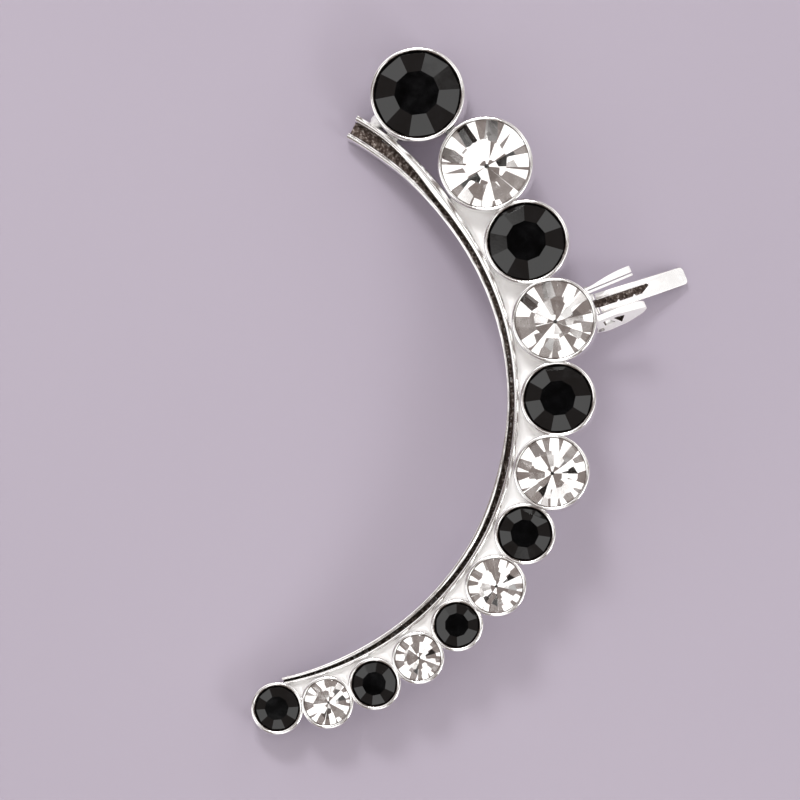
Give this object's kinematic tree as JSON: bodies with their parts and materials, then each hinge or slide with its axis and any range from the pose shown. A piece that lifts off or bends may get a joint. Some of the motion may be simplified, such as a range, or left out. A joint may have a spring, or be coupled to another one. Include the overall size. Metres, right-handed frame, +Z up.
{
  "type": "ear cuff",
  "caption": "Crescent ear cuff with round black and clear cut stones in bezel cups along a grooved silver rail, with a hinged paddle clip behind.",
  "frame": {"origin": "middle of the part's box at its lowest level, the surface that it rests on", "axes": "+Y along the crescent, from the small stones to the large ones; +Z up, with the stones facing up and leaning back by 18 degrees; the clip is on the +X side"},
  "size_m": [0.0368, 0.0552, 0.0105],
  "materials": {
    "silver_plate": "polished silver plate",
    "black_glass": "polished opaque black glass",
    "clear_glass": "polished clear glass with a foil back"
  },
  "bodies": {
    "cuff": {"cuff_frame": "silver_plate", "stone_01": "black_glass", "stone_02": "clear_glass", "stone_03": "black_glass", "stone_04": "clear_glass", "stone_05": "black_glass", "stone_06": "clear_glass", "stone_07": "black_glass", "stone_08": "clear_glass", "stone_09": "black_glass", "stone_10": "clear_glass", "stone_11": "black_glass", "stone_12": "clear_glass", "stone_13": "black_glass", "hinge_pin": "silver_plate"},
    "clip": {"clip_lever": "silver_plate"}
  },
  "joints": [
    {"name": "clip_hinge", "type": "hinge", "parent": "cuff", "child": "clip", "pos_m": [0.00908, 0.00702, 0.00454], "axis": [-0.3562, 0.9193, -0.1677], "range_deg": [0, 146]}
  ]
}
